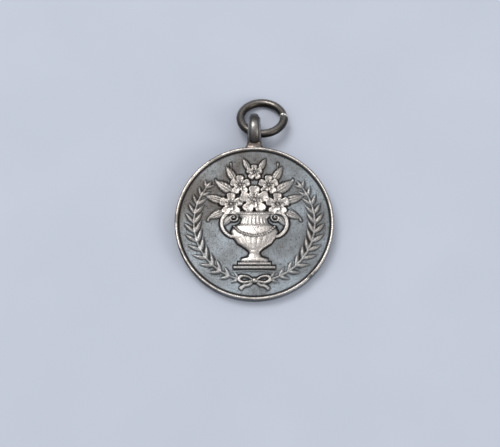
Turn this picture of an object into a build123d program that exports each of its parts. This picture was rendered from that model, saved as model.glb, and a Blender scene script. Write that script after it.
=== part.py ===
from build123d import *
import os
from math import asin, atan2, cos, degrees, hypot, radians, sin

# A round silver watch fob: a struck medal with a raised rim and a low relief,
# a domed strap loop soldered on its edge, and a split ring hooked through the
# loop, where the swivel of a watch chain clips on.
# The origin is the centre of the plain back field. +Z comes out of the relief
# side, +Y points along the medal to the loop, and the ring lies as it does when
# the fob is put down on its back.

# Medal blank
medal_diameter = 32.0
body_thickness = 1.45          # from field to field
front_rim_height = 0.5
back_rim_height = 0.25
rim_width = 0.85               # crest and inner slope together
rim_crest = 0.5
edge_bevel = 0.22
medal_radius = medal_diameter / 2
field_radius = medal_radius - rim_width
field_z = body_thickness
rim_top_z = body_thickness + front_rim_height
mid_z = (rim_top_z - back_rim_height) / 2
edge_flat = rim_top_z + back_rim_height - 2 * edge_bevel

# Strap loop, domed outside and flat inside, wider towards its foot
loop_hole_diameter = 3.7
strap_thickness = 1.65
strap_flank = 0.75             # straight part of the strap's sides, inside its dome
strap_tip_width = 2.4
strap_foot_width = 2.9
strap_seam = 0.1               # between the strap's two ends, at the foot
loop_stand_off = 0.45          # from the medal's edge to the strap, filled with solder
loop_hole_radius = loop_hole_diameter / 2
loop_outer_radius = loop_hole_radius + strap_thickness
loop_centre_y = medal_radius + loop_stand_off + loop_outer_radius
loop_centre_z = mid_z

# Solder that joins the loop's foot to the medal's edge
solder_foot_width = 4.2        # along the medal's edge
solder_waist_width = 3.1
solder_bite = 0.6              # how far the flare runs in under the edge before it is cut
solder_climb = 0.55            # how far it climbs round the strap
solder_climb_height = 3.2      # across the strap's back, up there

# Split ring
ring_wire_diameter = 1.7
ring_outer_diameter = 10.6
ring_loop_clearance = 0.1      # between the wire and the hole of the loop
ring_yaw_angle = 21.0          # the ring lies askew in the loop
ring_cut_width = 0.12
ring_cut_angle = 4.0           # place of the cut, from the ring's right side
ring_end_spread = 0.2          # how far one cut end stands outwards
ring_spread_angle = 60.0       # over how much of the ring that end bends out
ring_wire_radius = ring_wire_diameter / 2
ring_radius = ring_outer_diameter / 2 - ring_wire_radius
ring_play = loop_hole_radius - ring_wire_radius - ring_loop_clearance
ring_reach = ring_radius - ring_play  # from the loop's centre to the ring's, along the fob

# How the fob lies on a table: on the medal's near edge and the loop's underside.
# The slope is that of the table below the medal, seen from the medal's own frame.
edge_to_loop = loop_centre_y + medal_radius
edge_lift = loop_centre_z + back_rim_height
table_slope = asin(loop_outer_radius / hypot(edge_to_loop, edge_lift)) - atan2(edge_lift, edge_to_loop)


def ring_far_gap(tilt):
    # Gap between the table and the underside of the wire at the ring's far side
    far_reach = ring_reach + ring_radius
    far_y = edge_to_loop + far_reach * cos(tilt)
    far_z = edge_lift - far_reach * sin(tilt)
    return far_y * sin(table_slope) + far_z * cos(table_slope) - ring_wire_radius


# The tilt that lays the ring's far side on the table, found by halving
steepest_tilt_angle = 60.0
halving_count = 40
low_tilt, high_tilt = 0.0, radians(steepest_tilt_angle)
for _ in range(halving_count):
    ring_tilt = (low_tilt + high_tilt) / 2
    if ring_far_gap(ring_tilt) > 0:
        low_tilt = ring_tilt
    else:
        high_tilt = ring_tilt
print("table slope", round(degrees(table_slope), 2), "ring tilt", round(degrees(ring_tilt), 2))

# Relief on the front field, whose raised forms start this far below it
relief_root = 0.1
root_z = field_z - relief_root

os.makedirs("parts", exist_ok=True)


def raised(side, crown_share, crown_at, height):
    # A form with flat struck slopes along X: its outline's upper side, mirrored, and a small crown
    outline = [*side, *((x, -y) for x, y in reversed(side) if y > 0)]
    foot = [(x, y, 0) for x, y in outline]
    crown_z = relief_root + height
    crown = [(crown_at + (x - crown_at) * crown_share, y * crown_share, crown_z) for x, y in outline]
    slopes = [[foot[i - 1], foot[i], crown[i], crown[i - 1]] for i in range(len(outline))]
    return Solid(Shell([Face(Wire.make_polygon(points)) for points in (foot, crown, *slopes)]))


def leaf(length, width, height):
    # A pointed leaf from its root at the origin
    side = [(length * along_share, width / 2 * out_share) for along_share, out_share in leaf_side_shares]
    return raised(side, leaf_crown_share, length / 2, height)


def petal(length, width, height):
    # A blunt petal from the heart of its flower at the origin
    side = [(length * along_share, width / 2 * out_share) for along_share, out_share in petal_side_shares]
    return raised(side, petal_crown_share, length * petal_crown_at_share, height)


leaf_side_shares = ((0, 0), (0.32, 0.95), (0.66, 0.85), (1, 0))  # along the leaf, out from its ridge
leaf_crown_share = 0.12
petal_side_shares = ((0, 0), (0.62, 1.0), (1.0, 0.5))
petal_crown_share = 0.4
petal_crown_at_share = 0.7
heart_draft_angle = 20.0

# Urn: low arcs lofted one above another, from foot to lip
urn_height = 10.4
urn_width = 9.6
urn_relief = 0.95
urn_foot_y = -8.2
urn_shares = (  # height, half width, relief
    (0.00, 0.58, 0.50),
    (0.06, 0.56, 0.55),
    (0.10, 0.30, 0.58),
    (0.19, 0.20, 0.60),
    (0.26, 0.40, 0.78),
    (0.36, 0.72, 0.92),
    (0.50, 0.94, 1.00),
    (0.60, 1.00, 1.00),
    (0.68, 0.92, 0.92),
    (0.76, 0.62, 0.74),
    (0.86, 0.54, 0.70),
    (0.94, 0.74, 0.76),
    (1.00, 0.92, 0.66),
)
with BuildPart() as urn:
    for height_share, width_share, relief_share in urn_shares:
        half_width = urn_width / 2 * width_share
        with BuildSketch(Plane.XZ.offset(-urn_foot_y - urn_height * height_share)):
            with BuildLine():
                crown = ThreePointArc(
                    (-half_width, root_z), (0, field_z + urn_relief * relief_share), (half_width, root_z)
                )
                Line(crown @ 1, crown @ 0)
            make_face()
    loft(ruled=True)

# Handles: half-sunk tubes from the lip round to the shoulder
handle_wire = 1.0
handle_facets = 6
handle_reach = 6.7
handle_top_shares = (0.94, 0.72)  # up the urn, across it
handle_low_shares = (0.52, 0.90)
with BuildPart() as handles:
    top_x, top_y = urn_width / 2 * handle_top_shares[1], urn_foot_y + urn_height * handle_top_shares[0]
    low_x, low_y = urn_width / 2 * handle_low_shares[1], urn_foot_y + urn_height * handle_low_shares[0]
    with BuildLine():
        handle_path = ThreePointArc(
            (top_x, top_y, field_z), (handle_reach, (top_y + low_y) / 2, field_z), (low_x, low_y, field_z)
        )
    with BuildSketch(Plane(origin=handle_path @ 0, z_dir=handle_path % 0)):
        RegularPolygon(handle_wire / 2, handle_facets)
    sweep()
    mirror(about=Plane.YZ)

# Plinth under the urn, in two steps with struck slopes
plinth_top_width = 6.6
plinth_low_width = 8.4
plinth_step_height = 0.75
plinth_top_relief = 0.55
plinth_low_relief = 0.42
plinth_draft_angle = 18.0
with BuildPart() as plinth:
    step_y = urn_foot_y
    for width, relief in ((plinth_top_width, plinth_top_relief), (plinth_low_width, plinth_low_relief)):
        with BuildSketch(Plane.XY.offset(root_z)):
            with Locations((0, step_y - plinth_step_height / 2)):
                Rectangle(width, plinth_step_height)
        extrude(amount=relief_root + relief, taper=plinth_draft_angle)
        step_y -= plinth_step_height

# Blossoms: five petals round a heart
blossom_relief = 0.6
petal_count = 5
heart_sides = 8
petal_width_share, heart_share, heart_rise_share = 0.92, 0.62, 1.35
blossom_shares = (  # place across and up the field, size, as shares of the field's radius
    (0.00, 0.31, 0.190),
    (-0.31, 0.25, 0.150),
    (0.31, 0.25, 0.150),
    (-0.19, 0.52, 0.130),
    (0.19, 0.52, 0.130),
    (0.00, 0.70, 0.105),
)
with BuildPart() as blossoms:
    for across_share, up_share, size_share in blossom_shares:
        blossom_radius = field_radius * size_share
        one_petal = petal(blossom_radius, blossom_radius * petal_width_share, blossom_relief)
        with BuildPart() as heart:
            with BuildSketch():
                RegularPolygon(blossom_radius * heart_share / 2, heart_sides)
            extrude(amount=relief_root + blossom_relief * heart_rise_share, taper=heart_draft_angle)
        with Locations((field_radius * across_share, field_radius * up_share, root_z)):
            add(heart.part)
            with PolarLocations(0, petal_count, start_angle=90):
                add(one_petal)

# Leaves that stand out from behind the blossoms
leaf_relief = 0.45
leaf_slender_share = 0.46
leaf_shares = (  # root across and up, length, as shares of the field's radius, and direction in degrees
    (0.38, 0.16, 0.27, -24),
    (0.38, 0.28, 0.29, 18),
    (0.26, 0.40, 0.33, 34),
    (0.24, 0.56, 0.27, 58),
    (0.06, 0.72, 0.21, 62),
)
with BuildPart() as leaves:
    for across_share, up_share, length_share, direction in leaf_shares:
        length = field_radius * length_share
        root = (field_radius * across_share, field_radius * up_share, root_z)
        with Locations(Location(root, (0, 0, direction))):
            add(leaf(length, length * leaf_slender_share, leaf_relief))
    mirror(about=Plane.YZ)

# Palm fronds: a curved rib along the rim with leaflets on either side
frond_margin = 3.0             # from the rim's foot to the rib
frond_rib_width = 0.6
frond_rib_relief = 0.3
frond_start_angle, frond_end_angle = -76.0, 36.0
leaflet_count = 13
leaflet_width = 1.05
leaflet_relief = 0.38
leaflet_outer_length = 2.8
leaflet_inner_length = 3.2
leaflet_lean_angle = 36.0
leaflet_first_share = 0.07
leaflet_end_share = 0.68       # length of the first and last leaflets against the middle ones
frond_radius = field_radius - frond_margin
frond_sweep_angle = frond_end_angle - frond_start_angle
with BuildPart() as fronds:
    with BuildSketch(Plane.XZ.rotated((0, 0, frond_start_angle))):
        Polygon(
            (frond_radius - frond_rib_width / 2, root_z),
            (frond_radius + frond_rib_width / 2, root_z),
            (frond_radius, field_z + frond_rib_relief),
            align=None,
        )
    revolve(axis=Axis.Z, revolution_arc=frond_sweep_angle)
    for index in range(leaflet_count):
        way = index / (leaflet_count - 1)
        station_share = leaflet_first_share + (1 - leaflet_first_share) * way
        station = frond_start_angle + frond_sweep_angle * station_share
        grown_share = 1 - (1 - leaflet_end_share) * (2 * way - 1) ** 2
        root = (frond_radius * cos(radians(station)), frond_radius * sin(radians(station)), root_z)
        for lean, full_length in (
            (leaflet_lean_angle, leaflet_inner_length),
            (-leaflet_lean_angle, leaflet_outer_length),
        ):
            with Locations(Location(root, (0, 0, station + 90 + lean))):
                add(leaf(full_length * grown_share, leaflet_width, leaflet_relief))
    mirror(about=Plane.YZ)

# Ribbon bow where the fronds meet
bow_y = -12.0
bow_knot_width = 1.3
bow_knot_sides = 8
bow_relief = 0.45
bow_knot_share = 1.3
bow_shares = ((2.4, 1.1, 24), (2.2, 0.5, -50))  # length and width against the knot, direction in degrees
with BuildPart() as bow:
    for length_share, width_share, direction in bow_shares:
        with Locations(Location((0, bow_y, root_z), (0, 0, direction))):
            add(leaf(bow_knot_width * length_share, bow_knot_width * width_share, bow_relief))
    mirror(about=Plane.YZ)
    with BuildSketch(Plane.XY.offset(root_z)):
        with Locations((0, bow_y)):
            RegularPolygon(bow_knot_width / 2, bow_knot_sides)
    extrude(amount=relief_root + bow_relief * bow_knot_share, taper=heart_draft_angle)

# Medal: one struck piece, blank, rims and relief together
with BuildPart() as medal:
    with BuildSketch(Plane.XZ):
        with BuildLine():
            Polyline(
                (0, 0),
                (field_radius, 0),
                (medal_radius - rim_crest, -back_rim_height),
                (medal_radius - edge_bevel, -back_rim_height),
                (medal_radius, edge_bevel - back_rim_height),
                (medal_radius, rim_top_z - edge_bevel),
                (medal_radius - edge_bevel, rim_top_z),
                (medal_radius - rim_crest, rim_top_z),
                (field_radius, field_z),
                (0, field_z),
                close=True,
            )
        make_face()
    revolve(axis=Axis.Z)
    add([urn.part, handles.part, plinth.part, blossoms.part, leaves.part, fronds.part, bow.part])
medal.part.label = "medal"
export_step(medal.part, "parts/medal.step")

# Suspension loop: a strap bent round until its two ends meet at the foot, its cheeks dressed flat
with BuildPart() as suspension_loop:
    with BuildSketch(Plane(origin=(0, loop_centre_y, loop_centre_z), x_dir=(0, -1, 0), z_dir=(0, 0, -1))):
        with BuildLine():
            dome = ThreePointArc(
                (loop_hole_radius + strap_flank, -strap_foot_width / 2),
                (loop_outer_radius, 0),
                (loop_hole_radius + strap_flank, strap_foot_width / 2),
            )
            Polyline(
                dome @ 1,
                (loop_hole_radius, strap_foot_width / 2),
                (loop_hole_radius, -strap_foot_width / 2),
                dome @ 0,
            )
        make_face()
    revolve(axis=Axis((0, loop_centre_y, loop_centre_z), (1, 0, 0)))
    with BuildSketch(Plane.XY.offset(loop_centre_z)):
        Polygon(
            (-strap_foot_width / 2, loop_centre_y - loop_outer_radius),
            (strap_foot_width / 2, loop_centre_y - loop_outer_radius),
            (strap_tip_width / 2, loop_centre_y + loop_outer_radius),
            (-strap_tip_width / 2, loop_centre_y + loop_outer_radius),
            align=None,
        )
    extrude(amount=loop_outer_radius, both=True, mode=Mode.INTERSECT)
    with Locations((0, loop_centre_y - loop_hole_radius - strap_thickness / 2, loop_centre_z)):
        Box(strap_foot_width, 2 * strap_thickness, strap_seam, mode=Mode.SUBTRACT)
suspension_loop.part.label = "suspension_loop"
export_step(suspension_loop.part, "parts/suspension_loop.step")

# Solder: a flare from the medal's edge up round the foot of the strap
with BuildPart() as solder_fillet:
    for station_y, width, height in (
        (medal_radius - solder_bite, solder_foot_width, edge_flat),
        (medal_radius + loop_stand_off, solder_waist_width, edge_flat),
        (medal_radius + loop_stand_off + solder_climb, strap_foot_width, solder_climb_height),
    ):
        with BuildSketch(Plane.XZ.offset(-station_y)):
            with Locations((0, mid_z)):
                Rectangle(width, height)
    loft()
    with Locations((0, 0, mid_z)):
        Cylinder(medal_radius, solder_climb_height, mode=Mode.SUBTRACT)
    add(suspension_loop.part, mode=Mode.SUBTRACT)
solder_fillet.part.label = "solder_fillet"
export_step(solder_fillet.part, "parts/solder_fillet.step")

# Jump ring: a wire bent round, with one of its cut ends standing a little out
cut_half_angle = degrees(asin(ring_cut_width / 2 / ring_radius))
upper_end_angle = ring_cut_angle + cut_half_angle
bend_out_angle = ring_cut_angle - cut_half_angle - ring_spread_angle
round_angle = 360 - 2 * cut_half_angle - ring_spread_angle
eased = ring_end_spread / (1 - cos(radians(ring_spread_angle)))
ring_centre = (
    ring_radius * sin(radians(ring_yaw_angle)),
    loop_centre_y + ring_reach * cos(ring_tilt),
    loop_centre_z - ring_reach * sin(ring_tilt),
)
ring_plane = Plane(origin=ring_centre, x_dir=(1, 0, 0), z_dir=(0, sin(ring_tilt), cos(ring_tilt)))
with BuildPart() as jump_ring:
    with BuildLine(ring_plane) as wire_path:
        CenterArc((0, 0), ring_radius, upper_end_angle, round_angle)
        CenterArc(
            (-eased * cos(radians(bend_out_angle)), -eased * sin(radians(bend_out_angle))),
            ring_radius + eased,
            bend_out_angle,
            ring_spread_angle * ring_radius / (ring_radius + eased),
        )
    with BuildSketch(Plane(origin=wire_path.line @ 0, z_dir=wire_path.line % 0)):
        Circle(ring_wire_radius)
    sweep(path=wire_path.line)
jump_ring.part.label = "jump_ring"
export_step(jump_ring.part, "parts/jump_ring.step")

for piece in (medal.part, suspension_loop.part, solder_fillet.part, jump_ring.part):
    print(piece.label, piece.is_valid, len(piece.solids()), round(piece.volume, 2), piece.bounding_box())
print("ring centre", [round(value, 3) for value in ring_centre])
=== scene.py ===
from math import asin, atan2, cos, hypot, pi, radians, sin

import bpy
import numpy as np
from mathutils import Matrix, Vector
from mathutils.bvhtree import BVHTree


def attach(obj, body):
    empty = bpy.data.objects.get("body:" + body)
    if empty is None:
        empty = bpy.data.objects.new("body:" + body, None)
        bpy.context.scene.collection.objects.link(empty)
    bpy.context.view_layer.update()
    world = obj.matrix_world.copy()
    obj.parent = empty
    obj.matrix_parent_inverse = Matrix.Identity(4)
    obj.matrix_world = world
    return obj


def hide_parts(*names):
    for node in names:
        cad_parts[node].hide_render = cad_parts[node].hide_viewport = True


# A silver watch fob on pale paper. Sizes below are in millimetres in the row frame and
# become metres where a mesh is made.
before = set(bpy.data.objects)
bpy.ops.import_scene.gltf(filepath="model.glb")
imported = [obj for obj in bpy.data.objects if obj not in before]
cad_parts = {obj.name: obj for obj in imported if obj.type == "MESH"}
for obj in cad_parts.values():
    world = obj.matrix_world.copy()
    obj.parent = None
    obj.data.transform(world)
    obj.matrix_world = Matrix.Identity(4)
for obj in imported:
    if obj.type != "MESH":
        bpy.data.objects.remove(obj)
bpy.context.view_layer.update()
mm = 0.001


def report(words):
    print("fob:", words, flush=True)


# Helpers: meshes


dieObjects = []


def makeForm(name, points, faces):
    # A shape that only cuts the die and isn't part of the fob
    form = makeMesh(name, points, faces)
    dieObjects.append(form)
    return form


def makeMesh(name, points, faces, smooth=True):
    mesh = bpy.data.meshes.new(name)
    mesh.from_pydata([tuple(p) for p in points], [], [tuple(f) for f in faces])
    if smooth:
        mesh.polygons.foreach_set("use_smooth", np.ones(len(mesh.polygons), dtype=bool))
    mesh.update()
    obj = bpy.data.objects.new(name, mesh)
    bpy.context.scene.collection.objects.link(obj)
    return obj


def gridFaces(rows, columns, closeRows=False, closeColumns=False):
    # Quads of a grid whose points run row by row
    lastRow = rows if closeRows else rows - 1
    lastColumn = columns if closeColumns else columns - 1
    i, j = np.meshgrid(np.arange(lastRow), np.arange(lastColumn), indexing="ij")
    a = i * columns + j
    b = i * columns + (j + 1) % columns
    c = ((i + 1) % rows) * columns + (j + 1) % columns
    d = ((i + 1) % rows) * columns + j
    return np.stack([a, b, c, d], axis=-1).reshape(-1, 4)


def storeAttribute(mesh, name, values):
    attribute = mesh.attributes.new(name, "FLOAT", "POINT")
    attribute.data.foreach_set("value", np.asarray(values, dtype=np.float32))


def noiseField(x, y, scale, seed, octaves=3):
    # A smooth, repeatable unevenness made of turned sine waves
    local = np.random.default_rng(seed)
    total = np.zeros_like(x)
    for octave in range(octaves):
        for _ in range(5):
            turn, phase = local.uniform(0, 2 * pi, 2)
            pitch = scale * 2**octave * local.uniform(0.7, 1.3)
            total += np.sin((x * cos(turn) + y * sin(turn)) * pitch + phase) / 2**octave
    return total / 8


# Helpers: node trees


def addNode(tree, kind, inputs=None, **settings):
    node = tree.nodes.new(kind)
    for key, value in settings.items():
        setattr(node, key, value)
    for key, value in (inputs or {}).items():
        socket = node.inputs[key]
        if isinstance(value, bpy.types.NodeSocket):
            tree.links.new(value, socket)
        else:
            socket.default_value = value
    return node


def mathNode(tree, operation, first, second=0.0, clamp=False):
    node = addNode(tree, "ShaderNodeMath", {0: first, 1: second}, operation=operation)
    node.use_clamp = clamp
    return node.outputs[0]


def newNodeTree(name, sockets):
    # A geometry tree with named inputs, given as name to socket type
    tree = bpy.data.node_groups.new(name, "GeometryNodeTree")
    tree.interface.new_socket("Geometry", in_out="INPUT", socket_type="NodeSocketGeometry")
    for label, kind in sockets.items():
        tree.interface.new_socket(label, in_out="INPUT", socket_type=kind)
    tree.interface.new_socket("Geometry", in_out="OUTPUT", socket_type="NodeSocketGeometry")
    entry = tree.nodes.new("NodeGroupInput")
    leave = tree.nodes.new("NodeGroupOutput")
    return tree, entry.outputs, leave.inputs["Geometry"]


def finishTree(tree, geometry, material, leave):
    realized = addNode(tree, "GeometryNodeRealizeInstances", {"Geometry": geometry})
    painted = addNode(
        tree, "GeometryNodeSetMaterial", {"Geometry": realized.outputs[0], "Material": material}
    )
    tree.links.new(painted.outputs[0], leave)


def grow(carrier, tree, values):
    # The mesh that the tree makes of the carrier
    modifier = carrier.modifiers.new("grow", "NODES")
    modifier.node_group = tree
    for item in tree.interface.items_tree:
        if item.name in values:
            modifier[item.identifier] = values[item.name]
    bpy.context.view_layer.update()
    graph = bpy.context.evaluated_depsgraph_get()
    mesh = bpy.data.meshes.new_from_object(carrier.evaluated_get(graph), depsgraph=graph)
    carrier.modifiers.remove(modifier)
    return mesh


def meshArrays(mesh):
    points = np.empty(len(mesh.vertices) * 3)
    mesh.vertices.foreach_get("co", points)
    return points.reshape(-1, 3), [tuple(face.vertices) for face in mesh.polygons]


# Geometry trees that grow the repeated parts of the relief


def frondTree():
    # Leaflets in pairs along a rib, the middle ones longest, and the rib itself
    tree, given, leave = newNodeTree(
        "frond",
        {
            "Leaflet": "NodeSocketObject",
            "Pairs": "NodeSocketInt",
            "Lean": "NodeSocketFloat",
            "End Scale": "NodeSocketFloat",
            "Rib Radius": "NodeSocketFloat",
            "Material": "NodeSocketMaterial",
        },
    )
    stations = addNode(
        tree, "GeometryNodeResampleCurve", {"Curve": given["Geometry"], "Count": given["Pairs"]}
    )
    tangent = addNode(tree, "GeometryNodeInputTangent")
    parts = addNode(tree, "ShaderNodeSeparateXYZ", {0: tangent.outputs[0]})
    heading = mathNode(tree, "ARCTAN2", parts.outputs["Y"], parts.outputs["X"])
    along = addNode(tree, "GeometryNodeSplineParameter").outputs["Factor"]
    fromMiddle = mathNode(tree, "SUBTRACT", mathNode(tree, "MULTIPLY", along, 2.0), 1.0)
    squared = mathNode(tree, "POWER", mathNode(tree, "ABSOLUTE", fromMiddle), 2.0)
    loss = mathNode(tree, "SUBTRACT", 1.0, given["End Scale"])
    size = mathNode(tree, "SUBTRACT", 1.0, mathNode(tree, "MULTIPLY", squared, loss))
    leaflet = addNode(tree, "GeometryNodeObjectInfo", {"Object": given["Leaflet"]})
    joined = addNode(tree, "GeometryNodeJoinGeometry")
    for side in (1.0, -1.0):
        turn = mathNode(tree, "ADD", heading, mathNode(tree, "MULTIPLY", given["Lean"], side))
        facing = addNode(tree, "FunctionNodeAxisAngleToRotation", {"Axis": (0, 0, 1), "Angle": turn})
        row = addNode(
            tree,
            "GeometryNodeInstanceOnPoints",
            {
                "Points": stations.outputs[0],
                "Instance": leaflet.outputs["Geometry"],
                "Rotation": facing.outputs[0],
                "Scale": size,
            },
        )
        tree.links.new(row.outputs[0], joined.inputs[0])
    profile = addNode(
        tree, "GeometryNodeCurvePrimitiveCircle", {"Radius": given["Rib Radius"], "Resolution": 10}
    )
    rib = addNode(
        tree, "GeometryNodeCurveToMesh", {"Curve": given["Geometry"], "Profile Curve": profile.outputs[0]}
    )
    tree.links.new(rib.outputs[0], joined.inputs[0])
    finishTree(tree, joined.outputs[0], given["Material"], leave)
    return tree


def whorlTree():
    # A flower's petals, evenly spaced round each point of the carrier, scaled by its size
    tree, given, leave = newNodeTree(
        "whorl",
        {
            "Petal": "NodeSocketObject",
            "Count": "NodeSocketInt",
            "Ring Radius": "NodeSocketFloat",
            "Petal Scale": "NodeSocketFloat",
            "Turn": "NodeSocketFloat",
            "Lift": "NodeSocketFloat",
            "Material": "NodeSocketMaterial",
        },
    )
    circle = addNode(
        tree, "GeometryNodeMeshCircle", {"Vertices": given["Count"], "Radius": given["Ring Radius"]}
    )
    place = addNode(tree, "GeometryNodeInputPosition")
    parts = addNode(tree, "ShaderNodeSeparateXYZ", {0: place.outputs[0]})
    outward = mathNode(tree, "ARCTAN2", parts.outputs["Y"], parts.outputs["X"])
    facing = addNode(tree, "FunctionNodeAxisAngleToRotation", {"Axis": (0, 0, 1), "Angle": outward})
    petal = addNode(tree, "GeometryNodeObjectInfo", {"Object": given["Petal"]})
    petals = addNode(
        tree,
        "GeometryNodeInstanceOnPoints",
        {
            "Points": circle.outputs[0],
            "Instance": petal.outputs["Geometry"],
            "Rotation": facing.outputs[0],
            "Scale": given["Petal Scale"],
        },
    )
    size = addNode(tree, "GeometryNodeInputNamedAttribute", {"Name": "size"}, data_type="FLOAT")
    spin = addNode(tree, "FunctionNodeAxisAngleToRotation", {"Axis": (0, 0, 1), "Angle": given["Turn"]})
    flowers = addNode(
        tree,
        "GeometryNodeInstanceOnPoints",
        {
            "Points": given["Geometry"],
            "Instance": petals.outputs[0],
            "Rotation": spin.outputs[0],
            "Scale": size.outputs["Attribute"],
        },
    )
    offset = addNode(tree, "ShaderNodeCombineXYZ", {"Z": given["Lift"]})
    lifted = addNode(
        tree, "GeometryNodeTransform", {"Geometry": flowers.outputs[0], "Translation": offset.outputs[0]}
    )
    finishTree(tree, lifted.outputs[0], given["Material"], leave)
    return tree


def beadingTree():
    # Beads at an even spacing along a curve
    tree, given, leave = newNodeTree(
        "beading",
        {
            "Bead Radius": "NodeSocketFloat",
            "Spacing": "NodeSocketFloat",
            "Material": "NodeSocketMaterial",
        },
    )
    stations = addNode(tree, "GeometryNodeResampleCurve", {"Curve": given["Geometry"]}, mode="LENGTH")
    tree.links.new(given["Spacing"], stations.inputs["Length"])
    bead = addNode(
        tree, "GeometryNodeMeshUVSphere", {"Segments": 12, "Rings": 8, "Radius": given["Bead Radius"]}
    )
    row = addNode(
        tree, "GeometryNodeInstanceOnPoints", {"Points": stations.outputs[0], "Instance": bead.outputs[0]}
    )
    finishTree(tree, row.outputs[0], given["Material"], leave)
    return tree


# Medal: sizes of the struck blank, as in the solids

blank = {
    "radius": 16.0,
    "fieldRadius": 15.15,
    "fieldZ": 1.45,
    "rimTop": 1.95,
    "rimBottom": -0.25,
    "crest": 0.5,
    "edgeRound": 0.22,
}
fieldRadius, fieldZ = blank["fieldRadius"], blank["fieldZ"]


# Relief forms, each with its foot at height zero. They are the die that strikes the blank.
# The outermost points of leaves, bands and the urn lie a skirt's depth below that.

skirt = 0.05


def leafForm(name, length, width, rise, veins=0, serration=0.0):
    # A pointed leaf along X with a raised midrib and slanting veins
    rows, columns = 41, 21
    points = []
    for i in range(rows):
        u = i / (rows - 1)
        half = width / 2 * (sin(pi * u**0.82) ** 0.85 if 0 < u < 1 else 0.0)
        half *= 1 - serration * abs(sin(pi * u * 7))
        for j in range(columns):
            v = 2 * j / (columns - 1) - 1
            body = max(0.0, 1 - abs(v) ** 2.4) ** 0.5 * (0.55 + 0.45 * sin(pi * min(1.0, u * 1.1)))
            midrib = 0.34 * np.exp(-((v / 0.17) ** 2)) * (1 - u * 0.6)
            groove = 0.16 * np.exp(-(((abs(v) - 0.3) / 0.14) ** 2))
            vein = 0.12 * sin(2 * pi * (u * veins - abs(v) * 1.1)) * abs(v) if veins else 0.0
            lift = rise * max(0.0, body * (0.8 + midrib - groove + vein))
            points.append((u * length, v * half, lift if 0 < j < columns - 1 else -skirt))
    return makeForm(name, points, gridFaces(rows, columns))


def petalForm(name, length, width, rise, tilt=0.0):
    # A blunt, cupped petal along X, its lip raised and one side over its neighbour
    rows, columns = 41, 33
    points = []
    for i in range(rows):
        u = i / (rows - 1)
        blunt = max(0.0, (u - 0.4) / 0.6)
        half = width / 2 * u**0.6 * (1 - blunt**3.4) ** 0.5
        for j in range(columns):
            v = 2 * j / (columns - 1) - 1
            edge = max(abs(v) ** 1.6, blunt**3)
            cup = 0.6 + 0.4 * edge
            fall = (1 - edge**7) ** 0.5
            crease = 1 - 0.14 * np.exp(-((v / 0.14) ** 2)) * u
            notch = 0.06 * length * np.exp(-((v / 0.22) ** 2)) * u**5
            lift = rise * (0.7 + 0.3 * u) * cup * fall * crease + tilt * v * fall * u
            points.append((u * length - notch, v * half, lift))
    return makeForm(name, points, gridFaces(rows, columns))


def domeForm(name, radius, rise):
    # A round boss, such as the heart of a flower
    rows, columns = 11, 24
    points = []
    for i in range(rows):
        out = i / (rows - 1)
        height = rise * max(0.0, 1 - out**2) ** 0.5
        for j in range(columns):
            turn = 2 * pi * j / columns
            points.append((radius * out * cos(turn), radius * out * sin(turn), height))
    return makeForm(name, points, gridFaces(rows, columns, closeColumns=True))


def sweepForm(name, path, widths, rise, crease=0.0):
    # A raised band along a path in the field, half round, or creased along its middle
    path = np.asarray(path, dtype=float)
    step = np.gradient(path[:, :2], axis=0)
    step /= np.maximum(np.linalg.norm(step, axis=1, keepdims=True), 1e-9)
    across = np.stack([-step[:, 1], step[:, 0]], axis=1)
    columns = 13
    points = []
    for centre, side, width in zip(path, across, widths):
        for j in range(columns):
            v = 2 * j / (columns - 1) - 1
            lift = rise * max(0.0, 1 - v * v) ** 0.5 * (1 - crease * np.exp(-((v / 0.28) ** 2)))
            place = centre[:2] + side * v * width / 2
            dip = skirt if abs(v) > 0.99 else 0.0
            points.append((place[0], place[1], centre[2] + lift - dip))
    return makeForm(name, points, gridFaces(len(path), columns))


def smoothPath(knots, count=60):
    # A smooth path through knots (x, y), at height zero, by Catmull's rule
    knots = np.asarray(knots, dtype=float)
    padded = np.vstack([2 * knots[0] - knots[1], knots, 2 * knots[-1] - knots[-2]])
    path = []
    spans = len(knots) - 1
    for s in np.linspace(0, spans, count):
        k = min(int(s), spans - 1)
        t = s - k
        a, b, c, d = padded[k : k + 4]
        square = (2 * a - 5 * b + 4 * c - d) * t**2
        cube = (3 * b - a - 3 * c + d) * t**3
        place = 0.5 * (2 * b + (c - a) * t + square + cube)
        path.append((place[0], place[1], 0.0))
    return path


def polyCurve(name, path):
    curve = bpy.data.curves.new(name, "CURVE")
    curve.dimensions = "3D"
    spline = curve.splines.new("POLY")
    spline.points.add(len(path) - 1)
    for point, place in zip(spline.points, path):
        point.co = (*place, 1.0)
    obj = bpy.data.objects.new(name, curve)
    bpy.context.scene.collection.objects.link(obj)
    dieObjects.append(obj)
    return obj


dieMaterial = bpy.data.materials.new("die")
diePieces = []


def addToDie(points, faces, mirrored):
    # Adds faces to the die and, if asked, their mirror image about the medal's axis
    diePieces.append((points, faces))
    if mirrored:
        diePieces.append((points * (-1, 1, 1), [face[::-1] for face in faces]))


def press(mesh, mirrored=False):
    addToDie(*meshArrays(mesh), mirrored)


def pressForm(obj, place=(0, 0), turn=0.0, mirrored=False):
    # A form turned about its foot and moved to its place
    points, faces = meshArrays(obj.data)
    c, s = cos(turn), sin(turn)
    moved = points.copy()
    moved[:, 0] = place[0] + points[:, 0] * c - points[:, 1] * s
    moved[:, 1] = place[1] + points[:, 0] * s + points[:, 1] * c
    addToDie(moved, faces, mirrored)


beads = beadingTree()


def pressBeads(name, path, radius, spacing):
    values = {"Bead Radius": radius, "Spacing": spacing, "Material": dieMaterial}
    press(grow(polyCurve(name, path), beads, values))


# Urn with gadroons on its belly and mouldings at lip, neck, stem and foot

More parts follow.
